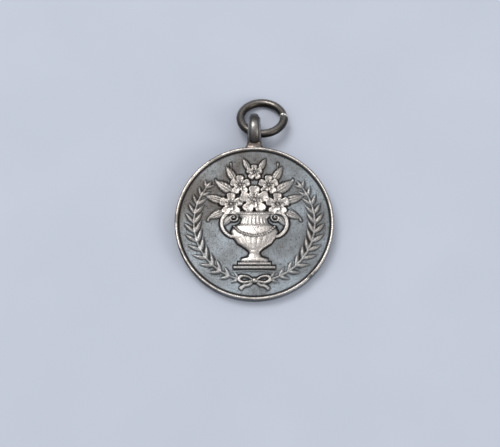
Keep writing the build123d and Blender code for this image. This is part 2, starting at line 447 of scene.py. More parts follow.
urn = {
    "footY": -8.2,
    "height": 10.4,
    "width": 9.6,
    "relief": 0.95,
    "profile": (
        (0.00, 0.58, 0.50),
        (0.06, 0.56, 0.55),
        (0.10, 0.30, 0.58),
        (0.19, 0.20, 0.60),
        (0.26, 0.40, 0.78),
        (0.36, 0.72, 0.92),
        (0.50, 0.94, 1.00),
        (0.60, 1.00, 1.00),
        (0.68, 0.92, 0.92),
        (0.76, 0.62, 0.74),
        (0.86, 0.54, 0.70),
        (0.94, 0.74, 0.76),
        (1.00, 0.92, 0.66),
    ),
    "mouldings": ((0.035, 0.03, 0.1), (0.19, 0.022, 0.16), (0.70, 0.02, 0.1), (0.955, 0.028, 0.1)),
    "gadroons": 11,
}


def urnForm():
    heights, widths, reliefs = (np.array(column) for column in zip(*urn["profile"]))
    rows, columns = 161, 81
    points = []
    for i in range(rows):
        u = i / (rows - 1)
        half = np.interp(u, heights, widths) * urn["width"] / 2
        crown = np.interp(u, heights, reliefs) * urn["relief"]
        band = 0.0
        for centre, spread, size in urn["mouldings"]:
            band += size * np.exp(-(((u - centre) / spread) ** 2))
        belly = np.exp(-(((u - 0.42) / 0.13) ** 4))
        neck = np.exp(-(((u - 0.82) / 0.07) ** 4))
        for j in range(columns):
            v = 2 * j / (columns - 1) - 1
            around = asin(v)
            body = cos(around) ** 0.8 if abs(v) < 1 else 0.0
            gadroon = 0.085 * belly * (abs(cos(around * urn["gadroons"])) ** 0.5 - 0.75)
            flute = 0.06 * neck * cos(around * urn["gadroons"] * 2)
            widened = half + band * 0.9
            lift = (crown + band * 0.6 + gadroon + flute) * body
            place = (v * widened, urn["footY"] + u * urn["height"])
            points.append((*place, lift if abs(v) < 1 else -skirt))
    return makeForm("urnForm", points, gridFaces(rows, columns))


pressForm(urnForm())

# Beads on the urn: a swag across its belly and a row along its lip
beading = {
    "swag": ((-4.05, -1.0), (-2.6, -2.3), (0, -2.95), (2.6, -2.3), (4.05, -1.0)),
    "swagReach": 4.75,
    "swagHeight": 0.86,
    "swagLift": 0.05,
    "swagBead": (0.26, 0.5),
    "lipShare": 0.955,
    "lipHalf": 3.5,
    "lipReach": 4.6,
    "lipHeight": 0.72,
    "lipBead": (0.17, 0.36),
}


def bodyShare(x, reach):
    # How high the urn's round body stands at a place across it
    return cos(asin(max(-1, min(1, x / reach)))) ** 0.8


swag = []
for x, y, _ in smoothPath(beading["swag"], 50):
    swag.append((x, y, beading["swagHeight"] * bodyShare(x, beading["swagReach"]) + beading["swagLift"]))
pressBeads("swag", swag, *beading["swagBead"])
lipY = urn["footY"] + urn["height"] * beading["lipShare"]
lip = []
for x in np.linspace(-beading["lipHalf"], beading["lipHalf"], 30):
    lip.append((x, lipY, beading["lipHeight"] * bodyShare(x, beading["lipReach"])))
pressBeads("lip", lip, *beading["lipBead"])

# Handles: scrolls that end in a curl at the lip
handle = {
    "knots": (
        (3.3, 1.35),
        (4.3, 1.95),
        (5.6, 1.75),
        (6.45, 0.6),
        (6.5, -0.9),
        (5.75, -2.2),
        (4.6, -3.0),
        (3.9, -2.9),
    ),
    "width": 0.95,
    "taper": 0.35,
    "rise": 0.5,
    "curlCentre": (4.25, 0.95),
    "curlReach": 0.95,
    "curlShrink": 0.75,
    "curlStart": 2.2,
    "curlTurn": 8.0,
    "curlWidth": 0.5,
    "curlTaper": 0.2,
    "curlRise": 0.42,
    "eyeRadius": 0.24,
    "eyeRise": 0.45,
}
handlePath = smoothPath(handle["knots"], 90)
handleWidths = handle["width"] - handle["taper"] * np.abs(np.linspace(-1, 1, 90)) ** 2
pressForm(sweepForm("handleForm", handlePath, handleWidths, handle["rise"], crease=0.25), mirrored=True)
curlX, curlY = handle["curlCentre"]
curl = []
for t in np.linspace(0, 1, 60):
    reach = handle["curlReach"] - handle["curlShrink"] * t
    turn = handle["curlStart"] + handle["curlTurn"] * t
    curl.append((curlX + reach * cos(turn), curlY + reach * sin(turn), 0.0))
curlWidths = handle["curlWidth"] - handle["curlTaper"] * np.linspace(0, 1, 60)
pressForm(sweepForm("curlForm", curl, curlWidths, handle["curlRise"]), mirrored=True)
curlEye = domeForm("curlEye", handle["eyeRadius"], handle["eyeRise"])
pressForm(curlEye, handle["curlCentre"], mirrored=True)

# Plinth: two steps with a rounded edge, over a ground line
plinth = {
    "steps": ((-8.2, 0.75, 6.6, 0.5), (-8.95, 0.75, 8.4, 0.4)),
    "groundY": -10.0,
    "groundHalf": 6.2,
    "groundSag": 0.012,
    "groundWidth": 0.26,
    "groundRise": 0.2,
}
for topY, height, width, rise in plinth["steps"]:
    ends = [(x, topY - height / 2, 0.0) for x in np.linspace(-width / 2, width / 2, 40)]
    pressForm(sweepForm("stepForm", ends, np.full(40, height * 0.92), rise, crease=0.12))
ground = []
for x in np.linspace(-plinth["groundHalf"], plinth["groundHalf"], 60):
    ground.append((x, plinth["groundY"] - plinth["groundSag"] * x * x, 0.0))
groundWidths = plinth["groundWidth"] * (1 - np.abs(np.linspace(-1, 1, 60)) ** 4)
pressForm(sweepForm("groundForm", ground, groundWidths, plinth["groundRise"]))

# Blossoms: two whorls of petals, a heart and a ring of stamens. Their places and sizes are
# shares of the field's radius, and the layers give petals, scale, lift and turn.
blossoms = {
    "places": (
        (0.00, 0.31, 0.190),
        (-0.31, 0.25, 0.150),
        (0.31, 0.25, 0.150),
        (-0.19, 0.52, 0.130),
        (0.19, 0.52, 0.130),
        (0.00, 0.70, 0.105),
    ),
    "layers": ((5, 1.0, 0.16, pi / 2), (5, 0.56, 0.30, pi / 2 + pi / 5)),
    "petal": (1.0, 1.06, 0.16),
    "petalTilt": 0.045,
    "petalReach": 1.04,
    "heart": 0.19,
    "heartRise": 0.76,
    "stamenRing": 0.3,
    "stamenHeight": 0.5,
    "stamenSpacing": 0.26,
}
petal = petalForm("petalForm", *blossoms["petal"], tilt=blossoms["petalTilt"])
whorls = whorlTree()
placed = [[fieldRadius * share for share in place] for place in blossoms["places"]]
centres = makeForm("blossomCentres", [(x, y, 0) for x, y, _ in placed], [])
storeAttribute(centres.data, "size", [radius * blossoms["petalReach"] for _, _, radius in placed])
for count, scale, lift, turn in blossoms["layers"]:
    values = {"Petal": petal, "Count": count, "Ring Radius": 0.03, "Petal Scale": scale}
    values |= {"Turn": turn, "Lift": lift, "Material": dieMaterial}
    press(grow(centres, whorls, values))
for x, y, radius in placed:
    pressForm(domeForm("heartForm", radius * blossoms["heart"], blossoms["heartRise"]), (x, y))
    reach = radius * blossoms["stamenRing"]
    circle = []
    for turn in np.linspace(0, 2 * pi, 40):
        circle.append((x + reach * cos(turn), y + reach * sin(turn), blossoms["stamenHeight"]))
    pressBeads("stamens", circle, 0.055 * radius + 0.03, radius * blossoms["stamenSpacing"])

# Leaves and buds that stand out from behind the blossoms
sprays = {
    "leaves": (
        (0.38, 0.16, 0.27, -24),
        (0.38, 0.28, 0.29, 18),
        (0.26, 0.40, 0.33, 34),
        (0.24, 0.56, 0.27, 58),
        (0.06, 0.72, 0.21, 62),
        (0.30, 0.10, 0.20, -52),
    ),
    "leafWidth": 0.46,
    "leafRise": 0.44,
    "buds": (
        ((5.2, 6.6), (6.4, 7.2), (7.3, 8.3)),
        ((7.0, 2.9), (8.2, 2.2), (8.9, 1.1)),
        ((3.9, 9.6), (4.6, 10.6), (4.7, 11.6)),
    ),
    "bud": (1.1, 0.62, 0.34),
    "stemWidth": 0.2,
    "stemRise": 0.16,
}
for across, up, share, direction in sprays["leaves"]:
    length = fieldRadius * share
    width = length * sprays["leafWidth"]
    form = leafForm("leafForm", length, width, sprays["leafRise"], veins=6, serration=0.1)
    pressForm(form, (fieldRadius * across, fieldRadius * up), radians(direction), mirrored=True)
stemWidths = np.full(30, sprays["stemWidth"])
for knots in sprays["buds"]:
    stem = sweepForm("stemForm", smoothPath(knots, 30), stemWidths, sprays["stemRise"])
    pressForm(stem, mirrored=True)
    heading = atan2(knots[2][1] - knots[1][1], knots[2][0] - knots[1][0])
    pressForm(petalForm("budForm", *sprays["bud"]), knots[2], heading, mirrored=True)

# Palm fronds along the rim
fronds = {
    "radius": 12.15,
    "start": -76.0,
    "end": 36.0,
    "pairs": 13,
    "lean": 36.0,
    "endScale": 0.68,
    "ribRadius": 0.24,
    "leaflet": (3.1, 0.92, 0.36),
    "tip": (2.1, 0.8, 0.34),
}
leaflet = leafForm("leafletForm", *fronds["leaflet"])
ribPath = []
for turn in np.radians(np.linspace(fronds["start"], fronds["end"], 90)):
    ribPath.append((fronds["radius"] * cos(turn), fronds["radius"] * sin(turn), 0.0))
frondValues = {
    "Leaflet": leaflet,
    "Pairs": fronds["pairs"],
    "Lean": radians(fronds["lean"]),
    "End Scale": fronds["endScale"],
    "Rib Radius": fronds["ribRadius"],
    "Material": dieMaterial,
}
press(grow(polyCurve("rib", ribPath), frondTree(), frondValues), mirrored=True)
tipTurn = radians(fronds["end"])
tipPlace = (fronds["radius"] * cos(tipTurn), fronds["radius"] * sin(tipTurn))
pressForm(leafForm("tipForm", *fronds["tip"]), tipPlace, tipTurn + pi / 2, mirrored=True)

# Ribbon bow that ties the fronds
bow = {
    "loop": (
        (0.2, -12.0),
        (1.4, -11.2),
        (2.7, -11.15),
        (3.1, -11.8),
        (2.3, -12.35),
        (0.9, -12.2),
        (0.2, -12.0),
    ),
    "loopWidth": 0.62,
    "loopSwell": 0.2,
    "loopRise": 0.42,
    "tail": ((0.3, -12.2), (1.1, -12.9), (2.1, -13.1), (2.9, -13.75)),
    "tailWidths": (0.5, 0.85),
    "tailRise": 0.3,
    "knot": (0, -12.0),
    "knotRadius": 0.62,
    "knotRise": 0.6,
}
bowWidths = bow["loopWidth"] - bow["loopSwell"] * np.cos(np.linspace(0, 2 * pi, 70))
bowLoop = sweepForm("bowLoop", smoothPath(bow["loop"], 70), bowWidths, bow["loopRise"], crease=0.2)
pressForm(bowLoop, mirrored=True)
tailWidths = np.linspace(*bow["tailWidths"], 50)
bowTail = sweepForm("bowTail", smoothPath(bow["tail"], 50), tailWidths, bow["tailRise"], crease=0.35)
pressForm(bowTail, mirrored=True)
pressForm(domeForm("bowKnot", bow["knotRadius"], bow["knotRise"]), bow["knot"])
report(f"die of {len(diePieces)} forms cut")


# Medal: the blank struck by the die, one closed piece


def squareToDisc(cells):
    # A square grid bent evenly on to a disc of radius one
    line = np.linspace(-1, 1, cells + 1)
    x, y = np.meshgrid(line, line)
    wide = np.abs(x) > np.abs(y)
    reach = np.where(wide, x, y)
    other = np.where(wide, y, x)
    safe = np.where(reach == 0, 1, reach)
    slant = pi / 4 * other / safe
    turn = np.where(wide, slant, pi / 2 - slant)
    return reach * np.cos(turn), reach * np.sin(turn)


def blurred(values, times):
    for _ in range(times):
        padded = np.pad(values, 1, mode="edge")
        values = (padded[:-2, 1:-1] + 2 * padded[1:-1, 1:-1] + padded[2:, 1:-1]) / 4
        padded = np.pad(values, 1, mode="edge")
        values = (padded[1:-1, :-2] + 2 * padded[1:-1, 1:-1] + padded[1:-1, 2:]) / 4
    return values


def spreadOut(values, times):
    # Each place takes the highest value next to it
    rows, columns = values.shape
    for _ in range(times):
        padded = np.pad(values, 1, mode="edge")
        for i in range(3):
            for j in range(3):
                values = np.maximum(values, padded[i : i + rows, j : j + columns])
    return values


def ramp(values, start, span):
    return np.clip((values - start) / span, 0, 1)


def strikeHeights(x, y):
    # Height of the die's forms over each place, by looking straight down on them
    points, faces, base = [], [], 0
    for formPoints, formFaces in diePieces:
        points.extend(map(tuple, formPoints))
        faces.extend(tuple(index + base for index in face) for face in formFaces)
        base += len(formPoints)
    tree = BVHTree.FromPolygons(points, faces)
    down = Vector((0, 0, -1))
    heights = np.zeros(x.shape)
    for index in np.ndindex(x.shape):
        hit = tree.ray_cast(Vector((x[index], y[index], 5.0)), down)[0]
        if hit is not None and hit.z > 0:
            heights[index] = hit.z
    return heights


# Grime starts at these heights and slopes of the relief, and shine where it stands out
struck = {
    "cells": 256,
    "waver": 0.012,
    "foot": (0.09, 0.18),
    "hollowGain": 14,
    "raised": (0.07, 0.32),
    "fieldEdge": (0.978, 0.02),
}


def strikeField(x, y):
    # Height of the struck surface over each place, with its grime and its shine
    raw = strikeHeights(x, y)
    heights = blurred(raw, 1) * 0.5 + raw * 0.5
    highest = urn["relief"] - 0.01
    heights *= highest / max(heights.max(), highest)
    out = np.hypot(x, y) / fieldRadius
    surface = fieldZ + heights + struck["waver"] * noiseField(x, y, 0.5, 11) * (1 - out**8)
    surface = np.where(out > 0.9995, fieldZ, surface)
    contour = ramp(spreadOut(heights, 2) - heights, *struck["foot"])
    hollow = np.clip((blurred(heights, 4) - heights) * struck["hollowGain"], 0, 1)
    raised = ramp(heights, *struck["raised"]) ** 0.8
    patinaAndShade = np.clip(contour * (1 - 0.55 * raised) + hollow * (0.5 + 0.5 * raised), 0, 1)
    patinaAndShade = np.maximum(patinaAndShade, blurred(patinaAndShade, 3) * 0.7)
    wearAndHighlight = raised * (1 - 0.8 * patinaAndShade)
    return surface, np.maximum(patinaAndShade, ramp(out, *struck["fieldEdge"]) ** 2), wearAndHighlight


def edgeRings():
    # Rim, edge and back, from the field outwards and round: radius, height, grime with painted shade, and
    # shine with painted reflection
    radius, top, bottom = blank["radius"], blank["rimTop"], blank["rimBottom"]
    soft, crest = blank["edgeRound"], blank["crest"]
    middle = (top + bottom) / 2
    rings = [
        (fieldRadius + 0.04, fieldZ + 0.015, 1.0, 0.0),
        (fieldRadius + 0.16, fieldZ + 0.16, 0.55, 0.1),
        (fieldRadius + 0.27, top - 0.12, 0.0, 0.6),
        (radius - crest + 0.02, top - 0.03, 0.0, 1.0),
        (radius - crest + 0.12, top, 0.0, 1.0),
        (radius - soft, top - 0.01, 0.0, 1.0),
    ]
    for k in (1, 2, 3):
        bend = pi / 2 * k / 3
        rings.append((radius - soft + soft * sin(bend), top - soft + soft * cos(bend), 0.0, 0.8 - 0.25 * k))
    # Along the middle of the edge, a painted reflection of the paper between two bands of painted shade
    rings += [
        (radius - 0.02, middle + 0.12, 0.35, 0.0),
        (radius, middle, 0.0, 0.7),
        (radius - 0.02, middle - 0.12, 0.35, 0.0),
    ]
    for k in (0, 1, 2, 3):
        bend = pi / 2 * k / 3
        rings.append((radius - soft + soft * cos(bend), bottom + soft - soft * sin(bend), 0.1, 0.3))
    rings += [
        (radius - crest, bottom, 0.0, 0.6),
        (fieldRadius + 0.1, -0.03, 0.7, 0.0),
        (fieldRadius, 0.0, 0.4, 0.0),
        (fieldRadius * 0.97, 0.0, 0.0, 0.0),
        (fieldRadius * 0.7, 0.0, 0.0, 0.0),
        (fieldRadius * 0.35, 0.0, 0.0, 0.0),
    ]
    return rings


# Wear of the rim and the painted shade on its edge: stains and nicks lie only above a height, a nick has
# turn, spread and depth, and the sun sets the turn of the painted light
rimWearAndShade = {
    "lowest": 1.7,
    "sun": 28.0,
    "stain": 3.2,
    "dent": 0.018,
    "nicks": ((-0.79, 0.028, 1.0), (-0.72, 0.020, 0.5)),
    "nickInset": 0.2,
    "nickDepth": 0.16,
}


def wornAndShadedRings(turns):
    # Points of the edge's rings, with the grime and painted shade and the shine and painted reflection of
    # each
    radius, soft = blank["radius"], blank["edgeRound"]
    edgeX, edgeY = radius * np.cos(turns), radius * np.sin(turns)
    # The edge is painted lighter on the side turned towards the sun and darker away from it
    sunny = 0.5 + 0.5 * np.cos(turns + radians(rimWearAndShade["sun"]))
    stain = np.clip(noiseField(edgeX, edgeY, 1.1, 23, 4) * rimWearAndShade["stain"], 0, 1)
    uneven = rimWearAndShade["dent"] * noiseField(edgeX, edgeY, 0.8, 5)
    nick = 0.0
    for turn, spread, depth in rimWearAndShade["nicks"]:
        nick = nick + depth * np.exp(-(((turns - turn) / spread) ** 2))
    points, patinaAndShade, wearAndHighlight = [], [], []
    for r, z, dark, bright in edgeRings():
        onCrest = 0.0
        if z > rimWearAndShade["lowest"]:
            onCrest = max(0.0, min(1.0, (r - fieldRadius - 0.2) / 0.3))
        outside = max(0.0, (r - (radius - soft) + 0.02) / soft)
        # Painted shade darkens the outer edge away from the sun, and stains on the crest are painted fainter
        # on its lit side
        shade = outside * (1 - sunny)
        stained = stain * onCrest * 0.5 * (1 - 0.7 * sunny)
        reach = r - rimWearAndShade["nickInset"] * nick * onCrest * (r / radius) ** 8
        height = z - onCrest * (rimWearAndShade["nickDepth"] * nick + np.abs(uneven))
        points.append(np.stack([reach * np.cos(turns), reach * np.sin(turns), height], axis=1))
        patinaAndShade.append(np.clip(dark + nick * onCrest * 0.6 + shade * 0.55 + stained, 0, 1))
        wearAndHighlight.append(np.clip(bright * (1 - shade), 0, 1))
    return points, patinaAndShade, wearAndHighlight


def strikeMedal():
    cells = struck["cells"]
    side = cells + 1
    unitX, unitY = squareToDisc(cells)
    x, y = unitX * fieldRadius, unitY * fieldRadius
    surface, patinaAndShade, wearAndHighlight = strikeField(x, y)
    points = np.stack([x, y, surface], axis=-1).reshape(-1, 3)
    faces = [tuple(face) for face in gridFaces(side, side)]
    border = list(range(cells))
    border += [i * side + cells for i in range(cells)]
    border += [cells * side + cells - j for j in range(cells)]
    border += [(cells - i) * side for i in range(cells)]
    turns = np.arctan2(points[border, 1], points[border, 0])
    ringPoints, ringPatinaAndShade, ringWearAndHighlight = wornAndShadedRings(turns)
    # Each ring joins the one before it, and the last one closes on the back's centre
    base, count = len(points), len(border)
    lastRing = border
    for k in range(len(ringPoints)):
        nextRing = [base + k * count + i for i in range(count)]
        for i in range(count):
            j = (i + 1) % count
            faces.append((lastRing[i], nextRing[i], nextRing[j], lastRing[j]))
        lastRing = nextRing
    tip = base + len(ringPoints) * count
    for i in range(count):
        faces.append((lastRing[i], tip, lastRing[(i + 1) % count]))
    points = np.vstack([points, *ringPoints, [(0, 0, 0)]])
    medal = makeMesh("struck_medal", points * mm, faces)
    storeAttribute(medal.data, "patinaAndShade", np.concatenate([patinaAndShade.ravel(), *ringPatinaAndShade, [0.0]]))
    storeAttribute(medal.data, "wearAndHighlight", np.concatenate([wearAndHighlight.ravel(), *ringWearAndHighlight, [0.0]]))
    return medal


medal = strikeMedal()
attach(medal, "fob")
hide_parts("medal")
for form in dieObjects:
    bpy.data.objects.remove(form)
report("medal struck")

# Suspension loop: a bent strap with a raised crown between two narrow shoulders

loop = {
    "centre": (0.0, 19.95, 0.85),
    "hole": 1.85,
    "thickness": 1.65,
    "flank": 0.75,
    "tipWidth": 2.4,
    "footWidth": 2.9,
    "standOff": 0.45,
    "corner": 0.16,
    "crownShare": 0.72,
    "shoulderShare": 0.40,
}


def strapSection(half):
    # Places across and up from the hole's wall, with how worn each is and how much it is darkened, by grime
    # and by painted shade on the strap's sides
    corner, flank = loop["corner"], loop["flank"]
    rise = loop["thickness"] - flank
    crown, shoulder = loop["crownShare"], loop["shoulderShare"]
    # The sides of the strap are darkened with painted shade
    side = [
        (half - corner, 0.0, 0.0, 0.6),
        (half - corner * 0.3, corner * 0.3, 0.0, 0.7),
        (half, corner, 0.0, 0.8),
    ]
    for t in np.linspace(0.35, 1, 4):
        side.append((half, corner + (flank - corner) * t, 0.0, 0.85 - 0.5 * t))
    for t in np.linspace(0, 1, 6)[1:]:
        across = 1 - (1 - crown) * t
        side.append((half * across, flank + rise * shoulder * t**0.8, 1.0, 0.05 if t < 0.9 else 0.95))
    for turn in np.linspace(0, pi / 2, 12)[1:]:
        across = half * crown * cos(turn) ** 0.9
        lift = shoulder + (1 - shoulder) * sin(turn) ** 0.9
        side.append((across, flank + rise * lift, 0.15 + 0.2 * sin(turn), 0.5 * cos(turn) ** 3))
    mirrored = [(-across, up, strapWearAndHighlight, darkening) for across, up, strapWearAndHighlight, darkening in side[-2::-1]]
    under = [(t * (half - corner), 0.0, 0.2, 0.4) for t in np.linspace(-1, 1, 7)[1:-1]]
    return side + mirrored + under


def bendStrap():
    centre = loop["centre"]
    rows = 144
    points, strapWearAndHighlight, darkening = [], [], []
    for i in range(rows):
        turn = 2 * pi * i / rows
        along = (1 + cos(turn)) / 2
        half = (loop["footWidth"] * (1 - along) + loop["tipWidth"] * along) / 2 - 0.01
        section = strapSection(half)
        # A painted highlight across the crown's top, where the strap faces up
        paintedCrownHighlight = np.exp(-(((turn - pi / 2 - 0.05) / 0.4) ** 2))
        for across, up, wornHere, darkeningHere in section:
            reach = loop["hole"] + up
            points.append((across, centre[1] + reach * cos(turn), centre[2] + reach * sin(turn)))
            strapWearAndHighlight.append(wornHere * (0.55 + 0.45 * paintedCrownHighlight) + 0.25 * paintedCrownHighlight * (up > loop["flank"]))
            # Darker towards the strap's tip
            darkening.append(min(1.0, darkeningHere + 0.45 * max(0.0, cos(turn)) ** 3))
    faces = gridFaces(rows, len(section), closeRows=True, closeColumns=True)
    strap = makeMesh("strap_loop", np.array(points) * mm, faces)
    storeAttribute(strap.data, "wearAndHighlight", strapWearAndHighlight)
    storeAttribute(strap.data, "patinaAndShade", darkening)
    return strap


strap = bendStrap()
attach(strap, "fob")
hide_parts("suspension_loop")
report("loop bent")

# Jump ring: round wire, one end sprung out, both ends cut across and bright

ring = {
    "wire": 0.85,
    "radius": 4.45,
    "yaw": 21.0,
    "play": 0.9,
    "cut": 4.0,
    "cutWidth": 0.12,
    "spread": 0.2,
    "spreadAngle": 60.0,
    "burr": 0.16,
}
runLength = loop["centre"][1] + blank["radius"]
runLift = loop["centre"][2] - blank["rimBottom"]
loopReach = loop["hole"] + loop["thickness"]
tableSlope = asin(loopReach / hypot(runLength, runLift)) - atan2(runLift, runLength)
ringReach = ring["radius"] - ring["play"]


def ringTilt():
    # The tilt that lays the ring's far side on the table, found by halving
    steepest, halvings = 60.0, 40
    far = ringReach + ring["radius"]
    low, high = 0.0, radians(steepest)
    for _ in range(halvings):
        tilt = (low + high) / 2
        along = runLength + far * cos(tilt)
        lift = runLift - far * sin(tilt)
        gap = along * sin(tableSlope) + lift * cos(tableSlope)
        low, high = (tilt, high) if gap > ring["wire"] else (low, tilt)
    return low


def ringPath():
    # Places of the wire's middle line in the ring's plane, with the heading of each
    halfCut = asin(ring["cutWidth"] / 2 / ring["radius"])
    start = radians(ring["cut"]) + halfCut
    bendOut = radians(ring["cut"] - ring["spreadAngle"]) - halfCut
    eased = ring["spread"] / (1 - cos(radians(ring["spreadAngle"])))
    path = []
    for turn in np.linspace(start, bendOut + 2 * pi, 150):
        path.append((ring["radius"] * cos(turn), ring["radius"] * sin(turn), turn))
    wide = ring["radius"] + eased
    for t in np.linspace(0, radians(ring["spreadAngle"]) * ring["radius"] / wide, 36)[1:]:
        turn = bendOut + t
        path.append((wide * cos(turn) - eased * cos(bendOut), wide * sin(turn) - eased * sin(bendOut), turn))
    return path


def bendRing():
    tilt = ringTilt()
    centre = np.array(
        [
            ring["radius"] * sin(radians(ring["yaw"])),
            loop["centre"][1] + ringReach * cos(tilt),
            loop["centre"][2] - ringReach * sin(tilt),
        ]
    )
    right = np.array([1.0, 0.0, 0.0])
    ahead = np.array([0.0, cos(tilt), -sin(tilt)])
    normal = np.array([0.0, sin(tilt), cos(tilt)])
    rows = [(x, y, turn, ring["wire"], 0.0) for x, y, turn in ringPath()]
    # Each end is cut flat, with a bright broken edge
    for end, sign in ((0, 1), (-1, -1)):
        x, y, turn, size, _ = rows[end]
        edge = []
        for share, inset, bare in ((0.80, 0.0, 1.0), (0.93, 0.06, 1.0), (1.0, ring["burr"], 0.6)):
            shift = sign * inset
            edge.append((x - shift * sin(turn), y + shift * cos(turn), turn, size * share, bare))
        rows = edge + rows[3:] if end == 0 else rows[:-3] + edge[::-1]
    columns = 40
    points, wearAndHighlight, darkening, fresh = [], [], [], []
    for x, y, turn, size, bare in rows:
        out = cos(turn) * right + sin(turn) * ahead
        place = centre + x * right + y * ahead
        for j in range(columns):
            around = 2 * pi * j / columns
            points.append(place + size * (cos(around) * out + sin(around) * normal))
            # Painted highlight along the top of the wire and painted shade on its sides and underside; the
            # cut ends stay bare
            wearAndHighlight.append(max(0.0, sin(around)) ** 5 * 0.8)
            darkening.append(np.clip(0.75 - sin(around), 0, 1) * (1 - bare))
            fresh.append(bare)
    faces = [tuple(face) for face in gridFaces(len(rows), columns, closeColumns=True)]
    faces.append(tuple(range(columns - 1, -1, -1)))
    faces.append(tuple(range((len(rows) - 1) * columns, len(rows) * columns)))
    piece = makeMesh("wire_ring", np.array(points) * mm, faces)
    storeAttribute(piece.data, "wearAndHighlight", wearAndHighlight)
    storeAttribute(piece.data, "patinaAndShade", darkening)
    storeAttribute(piece.data, "fresh", fresh)
    for face in (piece.data.polygons[-1], piece.data.polygons[-2]):
        face.use_smooth = False
    return piece


wireRing = bendRing()
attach(wireRing, "ring")
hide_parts("jump_ring")
report("ring bent")

# Solder: a flare between the medal's edge and the strap's foot

solder = {
    "footWidth": 4.5,
    "waistWidth": 3.0,
    "inside": 0.22,
    "climb": 0.6,
    "footHeight": 2.0,
    "climbHeight": 2.9,
    # Place and spread of a painted glint on the solder's top
    "paintedGlint": (-0.25, 0.25),
    "paintedGlintSpread": (0.2, 0.16),
}


def runSolder():
    edge = blank["radius"]
    start, end = edge - solder["inside"], edge + loop["standOff"] + solder["climb"]
    glintAcross, glintAlong = solder["paintedGlint"]
    spreadAcross, spreadAlong = solder["paintedGlintSpread"]
    rows, columns = 30, 96
    points, darkening, wearAndHighlight = [], [], []
    for i in range(rows):
        t = i / (rows - 1)
        y = start + (end - start) * t
        half = (solder["waistWidth"] + (solder["footWidth"] - solder["waistWidth"]) * (1 - t) ** 2) / 2
        tall = (solder["footHeight"] + (solder["climbHeight"] - solder["footHeight"]) * t**2.2) / 2
        for j in range(columns):
            turn = 2 * pi * j / columns
            across = np.sign(cos(turn)) * abs(cos(turn)) ** 0.6
            up = np.sign(sin(turn)) * abs(sin(turn)) ** 0.6
            lumps = 1 - 0.05 * abs(float(noiseField(np.array(across * half * 2), np.array(y * 3), 1.3, 3)))
            points.append((across * half * lumps, y, loop["centre"][2] + up * tall * lumps))
            # Darker at the flare's sides and towards the strap
            darkening.append(0.55 * max(0.0, abs(across) - 0.6) / 0.4 + 0.5 * max(0.0, t - 0.75) / 0.25)
            # A painted glint on the top of the flare
            away = ((across - glintAcross) / spreadAcross) ** 2 + ((t - glintAlong) / spreadAlong) ** 2
            wearAndHighlight.append(0.12 + 0.88 * np.exp(-away) * (up > 0))
    faces = [tuple(face[::-1]) for face in gridFaces(rows, columns, closeColumns=True)]
    faces.append(tuple(range(columns)))
    faces.append(tuple(range(rows * columns - 1, (rows - 1) * columns - 1, -1)))
    flare = makeMesh("solder_flare", np.array(points) * mm, faces)
    storeAttribute(flare.data, "patinaAndShade", np.clip(darkening, 0, 1))
    storeAttribute(flare.data, "wearAndHighlight", np.clip(wearAndHighlight, 0, 1))
    return flare


flare = runSolder()
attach(flare, "fob")
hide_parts("solder_fillet")
report("solder run")

# Materials


def mixColour(tree, factor, first, second):
    node = addNode(tree, "ShaderNodeMix", {0: factor, 6: first, 7: second}, data_type="RGBA")
    return node.outputs[2]


def rangeNode(tree, value, low, high, toLow=0.0, toHigh=1.0):
    limits = {"Value": value, "From Min": low, "From Max": high, "To Min": toLow, "To Max": toHigh}
    return addNode(tree, "ShaderNodeMapRange", limits).outputs[0]


def noiseNode(tree, place, scale, detail, roughness=0.5):
    inputs = {"Vector": place, "Scale": scale, "Detail": detail, "Roughness": roughness}
    return addNode(tree, "ShaderNodeTexNoise", inputs).outputs["Fac"]


# Scales of the fine textures, and the depth of their bumps in metres
grainScale, pitScale, poreScale, scratchScale = 3200.0, 5200.0, 4200.0, 6000.0
bumpDepth = 0.00003


